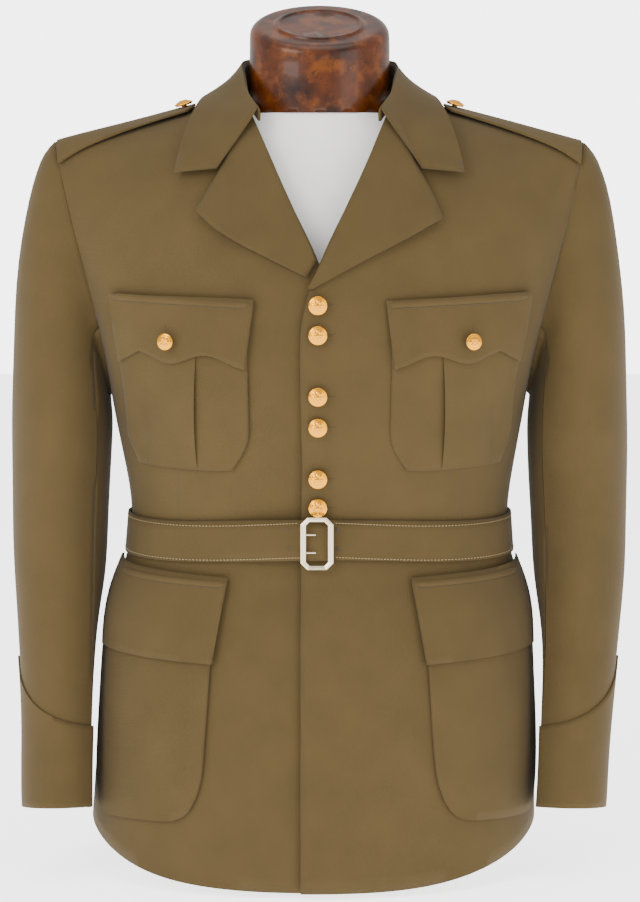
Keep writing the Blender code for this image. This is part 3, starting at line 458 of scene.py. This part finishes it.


# Bands along the tops of the flaps, seams and pleats; the seam lines under the bands and the dart lines are
# painted shade
PLEAT_IN, PLEAT_OUT = 0.117, 0.165
PLEAT_LOW, PLEAT_HIGH = 0.409, 0.526
CHEST_BAND_Z = (0.5665, 0.5725)  # at its inner and its outer end
HIP_BAND_Z = (0.2990, 0.3010)
HIP_BAND_LENGTH = 0.105
DART_X, DART_Z = (0.137, 0.136), (0.306, 0.408)
for word, side in SIDES:
    chest = surface(f"chest_flap_{word}")
    hip = surface(f"hip_flap_{word}")
    low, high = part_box(f"chest_flap_{word}")
    ends = sorted((abs(low.x), abs(high.x)))
    inner, outer = ends[0] + 1 * MM, ends[1] - 2 * MM
    band = line((side * inner, CHEST_BAND_Z[0]), (side * outer, CHEST_BAND_Z[1]), 24)
    ridge(f"chest_flap_band_{word}", band, 3.4 * MM, 2.2 * MM, CLOTH, chest)
    # painted shade: a dark line just under each chest flap band, where the band's edge casts shade
    under = [(x, z - 3.9 * MM) for x, z in band]
    ridge(f"chest_flap_seam_{word}", under, 0.4 * MM, 0.3 * MM, SHADOW_THREAD, chest, 0.1 * MM)
    low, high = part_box(f"hip_flap_{word}")
    inner = min(abs(low.x), abs(high.x)) + 1.5 * MM
    outer = inner + HIP_BAND_LENGTH
    band = line((side * inner, HIP_BAND_Z[0]), (side * outer, HIP_BAND_Z[1]), 20)
    ridge(f"hip_flap_band_{word}", band, 3.6 * MM, 2.4 * MM, CLOTH, hip)
    # painted shade: a dark line just under each hip flap band, where the band's edge casts shade
    under = [(x, z - 4.1 * MM) for x, z in band]
    ridge(f"hip_flap_seam_{word}", under, 0.4 * MM, 0.3 * MM, SHADOW_THREAD, hip, 0.1 * MM)
    # painted shade: a dark line down each waist dart stands in for the shade in the dart's groove
    dart = line((side * DART_X[0], DART_Z[0]), (side * DART_X[1], DART_Z[1]), 20)
    ridge(f"dart_shade_{word}", dart, 0.55 * MM, 0.35 * MM, SHADOW_THREAD, surface(f"front_{word}"), 0.1 * MM)

    pocket = surface(f"chest_pocket_{word}")
    verts, faces = [], []
    rows, columns = 24, 8
    for r in range(rows + 1):
        up = r / rows
        bow = math.sin(math.pi * min(1.0, up * 1.05)) ** 0.8
        for c in range(columns + 1):
            across = c / columns
            x = side * (PLEAT_IN + 1.2 * MM * bow + (PLEAT_OUT - PLEAT_IN) * across)
            hit, normal = seen(x, PLEAT_LOW + (PLEAT_HIGH - PLEAT_LOW) * up, pocket)
            lift = (0.5 + 3.6 * bow * (1 - across) ** 2) * MM
            verts.append(hit + normal * lift)
    count = len(verts)
    verts += [v + Vector((0, 1.1 * MM, 0)) for v in verts]
    wide = columns + 1
    for r in range(rows):
        for c in range(columns):
            a = r * wide + c
            faces.append((a, a + 1, a + wide + 1, a + wide))
            faces.append((count + a, count + a + wide, count + a + wide + 1, count + a + 1))
    rim = list(range(wide)) + [r * wide + columns for r in range(1, rows + 1)]
    rim += [rows * wide + c for c in range(columns - 1, -1, -1)] + [r * wide for r in range(rows - 1, 0, -1)]
    for a, b in zip(rim, rim[1:] + rim[:1]):
        faces.append((a, b, count + b, count + a))
    from_points(f"pocket_pleat_{word}", verts, faces, CLOTH, "drab_cloth")

# Buttonholes: worked slits, sideways by the front buttons and upright by the pocket buttons
BUTTON_ZS = (0.5665, 0.5385, 0.4805, 0.4510, 0.4010, 0.3730)
HOLE_FROM_X, HOLE_TO_X = 8.5 * MM, 17.0 * MM
front_tree = surface("front_left")
holes, slit_shades = [], []


def buttonhole(name, start, end, tree):
    holes.append(ridge(name + "_lip", line(start, end, 6), 1.15 * MM, 0.55 * MM, CLOTH, tree))
    # painted shade: a dark ridge along each slit stands in for the shade in the opening
    slit_shades.append(ridge(name + "_slit", line(start, end, 6), 0.35 * MM, 0.75 * MM, SHADOW_THREAD, tree))


for order, z in enumerate(BUTTON_ZS):
    buttonhole(f"front_hole_{order}", (HOLE_FROM_X, z), (HOLE_TO_X, z), front_tree)
for word, side in SIDES:
    low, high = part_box(f"chest_button_{word}")
    x, z = (low.x + high.x) / 2, high.z
    buttonhole(f"pocket_hole_{word}", (x, z + 0.5 * MM), (x, z + 9.0 * MM), surface(f"chest_flap_{word}"))
joined("buttonhole_lips", holes)
joined("buttonhole_slit_shades", slit_shades)


# ---------------------------------------------------------------- belt stitching and eyelets
BELT_Z, BELT_DROP, BELT_HALF = 0.3425, 0.008, 0.01925
BELT_REACH = 0.190      # the body's half width at the belt
BUCKLE_X, BUCKLE_CLEAR = -2.4 * MM, 17 * MM
belt_tree = surface("belt")


def belt_middle(x):
    """How high the belt's middle line is: it dips towards the sides."""
    t = min(1.0, abs(x) / BELT_REACH)
    return BELT_Z - BELT_DROP * t * t * (3 - 2 * t)


def belt_point(angle, level):
    """The point on the belt at an angle round the body, its normal, and the way along the belt."""
    away = Vector((math.sin(angle), -math.cos(angle), 0))
    x = BELT_REACH * math.sin(angle)
    start = Vector((0, BODY_Y, belt_middle(x) + level)) + away * 0.5
    hit, normal, _, _ = belt_tree.ray_cast(start, -away)
    if hit is None:
        return None, None, None
    normal = normal if normal.dot(away) > 0 else -normal
    return hit, normal, Vector((0, 0, 1)).cross(normal).normalized()


verts, faces = [], []
STITCHES = 300
STITCH_LEVEL = BELT_HALF - 3.0 * MM
STITCH_LONG, STITCH_WIDE = 1.05 * MM, 0.32 * MM
for level in (-STITCH_LEVEL, STITCH_LEVEL):
    for k in range(STITCHES):
        hit, normal, along = belt_point(2 * math.pi * (k + 0.5) / STITCHES, level)
        if hit is None or (abs(hit.x - BUCKLE_X) < BUCKLE_CLEAR and hit.y < 0):
            continue
        up = normal.cross(along)
        base = len(verts)
        for lift in (-0.15, 0.28):
            for a, b in ((-1, -1), (1, -1), (1, 1), (-1, 1)):
                size = 1.0 if lift < 0 else 0.75
                aside = along * a * STITCH_LONG * size + up * b * STITCH_WIDE * size
                verts.append(hit + aside + normal * lift * MM)
        for quad in ((0, 1, 2, 3), (4, 5, 6, 7), (0, 1, 5, 4), (1, 2, 6, 5), (2, 3, 7, 6), (3, 0, 4, 7)):
            faces.append(tuple(base + i for i in quad))
from_points("belt_stitches", verts, faces, THREAD, "drab_cloth")


def ring_mesh(name, centre, axis, profile, look, slot, replaced=(), steps=40, relief=None):
    """A turned shape: radius and height pairs round an axis; relief adds height by radius and angle."""
    turn = axis.to_track_quat("Z", "Y").to_matrix()
    verts, faces = [], []
    for r, h in profile:
        for k in range(steps):
            angle = 2 * math.pi * k / steps
            extra = relief(r, angle) if relief else 0.0
            local = Vector((math.cos(angle) * r, math.sin(angle) * r, h + extra))
            verts.append(centre + turn @ local)
    for i in range(len(profile) - 1):
        for k in range(steps):
            a, b = i * steps + k, i * steps + (k + 1) % steps
            faces.append((a, b, b + steps, a + steps))
    faces.append(range(steps))
    faces.append(range(len(verts) - steps, len(verts)))
    return from_points(name, verts, faces, look, slot, replaced, sharp=60)


# The eyelets are dark thread rings with their holes filled in the same dark: painted shade in the holes
EYELETS = ((-0.0305, 0.3525), (-0.0300, 0.3345), (0.0175, 0.3520), (0.0180, 0.3340))
EYELET_PROFILE = [(2.1 * MM, -0.3 * MM), (1.9 * MM, 0.35 * MM), (1.3 * MM, 0.5 * MM), (0.9 * MM, 0.1 * MM)]
eyelets = []
for order, (x, z) in enumerate(EYELETS):
    hit, normal = seen(x, z, belt_tree)
    eyelets.append(ring_mesh(f"eyelet_{order}", hit, normal, EYELET_PROFILE, SHADOW_THREAD, "drab_cloth",
                             steps=16))
joined("belt_eyelets", eyelets)


# ---------------------------------------------------------------- buttons
def button_axis(node):
    """Centre, outward direction and radius of a round button, from its solid."""
    co = np.array([v.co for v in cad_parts[node].data.vertices])
    centre = co.mean(axis=0)
    _, _, vectors = np.linalg.svd(co - centre)
    axis = Vector(vectors[2])
    away = Vector(centre) - Vector((centre[0] * 0.5, 0.02, centre[2] - 0.06))
    axis = axis if axis.dot(away) > 0 else -axis
    heights = (co - centre) @ np.array(axis)
    spread = np.linalg.norm((co - centre) - np.outer(heights, np.array(axis)), axis=1)
    return Vector(centre), axis, float(spread.max()), float(heights.min()), float(heights.max())


def rosette(radius):
    """A stamped face: an eight-petalled flower in a rope ring."""

    def relief(r, angle):
        share = r / radius
        petals = math.exp(-((share - 0.42) / 0.16) ** 2) * (0.5 + 0.5 * math.cos(8 * angle)) * 0.55 * MM
        rope = math.exp(-((share - 0.74) / 0.05) ** 2) * (0.5 + 0.5 * math.cos(28 * angle)) * 0.35 * MM
        boss = math.exp(-(share / 0.14) ** 2) * 0.5 * MM
        return (petals + rope + boss) if 0 < share < 0.9 else 0.0

    return relief


# The outline of a button from its middle to behind its rim, in radii
STAMPED = [(0.06, 0.0), (0.14, 0.0), (0.22, -0.01), (0.30, -0.02), (0.36, -0.03), (0.42, -0.05),
           (0.48, -0.07), (0.54, -0.09), (0.60, -0.11), (0.66, -0.14), (0.70, -0.16), (0.74, -0.17),
           (0.78, -0.19), (0.84, -0.22), (0.90, -0.23), (0.96, -0.25), (1.0, -0.32), (0.98, -0.42),
           (0.90, -0.50)]
SHOULDER_SINK = 1.4 * MM
for node in sorted(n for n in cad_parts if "button" in n):
    centre, axis, radius, lowest, highest = button_axis(node)
    top = highest - 0.3 * MM
    if "shoulder" in node:
        centre = centre - axis * SHOULDER_SINK
    profile = [(radius * r, top + radius * h) for r, h in STAMPED]
    profile.append((radius * 0.30, max(lowest, top - radius * 0.55)))
    profile.append((radius * 0.28, lowest))
    ring_mesh(node + "_stamped", centre, axis, profile, GILT, "gilt_brass", (node,), 96, rosette(radius))

# ---------------------------------------------------------------- buckle
for node in ("buckle_frame", "buckle_tongue_upper", "buckle_tongue_lower"):
    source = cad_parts[node].data.copy()
    piece = link(node + "_plated", source, NICKEL, "pale_nickel", (node,))
    soften = piece.modifiers.new("soft edges", "BEVEL")
    soften.width, soften.segments, soften.limit_method = 0.35 * MM, 2, "ANGLE"
    soften.angle_limit = math.radians(25)

# ---------------------------------------------------------------- studio
SPAN, FLOOR_GLOW = 6.0, 2.4
LIGHT_STRENGTH, BACKDROP_STRENGTH = 1.30, 5.0  # the world as a light, and as the camera sees it
floor_mesh = bpy.data.meshes.new("floor")
floor_corners = [(-SPAN, -SPAN, 0), (SPAN, -SPAN, 0), (SPAN, SPAN, 0), (-SPAN, SPAN, 0)]
floor_mesh.from_pydata(floor_corners, [], [(0, 1, 2, 3)])
floor = bpy.data.objects.new("floor", floor_mesh)
bpy.context.scene.collection.objects.link(floor)
floor_look = plain_look("studio_floor", (0.90, 0.90, 0.90), 0.9, grain=3.0, uneven=0.01)
floor_shader = floor_look.node_tree.nodes["Principled BSDF"]
floor_shader.inputs["Emission Color"].default_value = (1.0, 1.0, 1.0, 1.0)
floor_shader.inputs["Emission Strength"].default_value = FLOOR_GLOW
floor_mesh.materials.append(floor_look)

world = bpy.data.worlds.new("studio")
bpy.context.scene.world = world
world.use_nodes = True
backdrop = world.node_tree.nodes["Background"]
backdrop.inputs["Color"].default_value = (1.0, 1.0, 1.0, 1.0)
ray = world.node_tree.nodes.new("ShaderNodeLightPath")
seen_strength = world.node_tree.nodes.new("ShaderNodeMapRange")
seen_strength.inputs["To Min"].default_value = LIGHT_STRENGTH
seen_strength.inputs["To Max"].default_value = BACKDROP_STRENGTH
world.node_tree.links.new(ray.outputs["Is Camera Ray"], seen_strength.inputs["Value"])
world.node_tree.links.new(seen_strength.outputs["Result"], backdrop.inputs["Strength"])


def panel_light(name, place, target, size, power):
    """A rectangular lamp at a place, turned to its target."""
    lamp = bpy.data.lights.new(name, "AREA")
    lamp.shape, lamp.size, lamp.size_y, lamp.energy = "RECTANGLE", size[0], size[1], power
    made = bpy.data.objects.new(name, lamp)
    made.location = place
    made.rotation_euler = (Vector(target) - Vector(place)).to_track_quat("-Z", "Y").to_euler()
    bpy.context.scene.collection.objects.link(made)


CHEST = (0, 0, 0.45)
panel_light("key", (-1.7, -2.0, 1.9), CHEST, (1.2, 1.6), 50)
panel_light("fill", (1.9, -2.0, 1.2), CHEST, (1.4, 1.6), 20)
panel_light("top", (0, -0.4, 2.6), CHEST, (1.6, 1.2), 16)

PITCH, DISTANCE, AIM = math.radians(6.3), 2.7, Vector((0.0005, 0, 0.41281))
SENSOR_HEIGHT = 36.0  # mm
VIEW_HEIGHT = 0.902   # metres in view at the aim's distance
back_off = Vector((0, -math.cos(PITCH), math.sin(PITCH)))
lens = bpy.data.cameras.new("camera")
lens.sensor_fit, lens.sensor_height = "VERTICAL", SENSOR_HEIGHT
lens.lens = DISTANCE * SENSOR_HEIGHT / VIEW_HEIGHT
camera = bpy.data.objects.new("camera", lens)
camera.location = AIM + back_off * DISTANCE
camera.rotation_euler = back_off.to_track_quat("Z", "Y").to_euler()
bpy.context.scene.collection.objects.link(camera)
bpy.context.scene.camera = camera
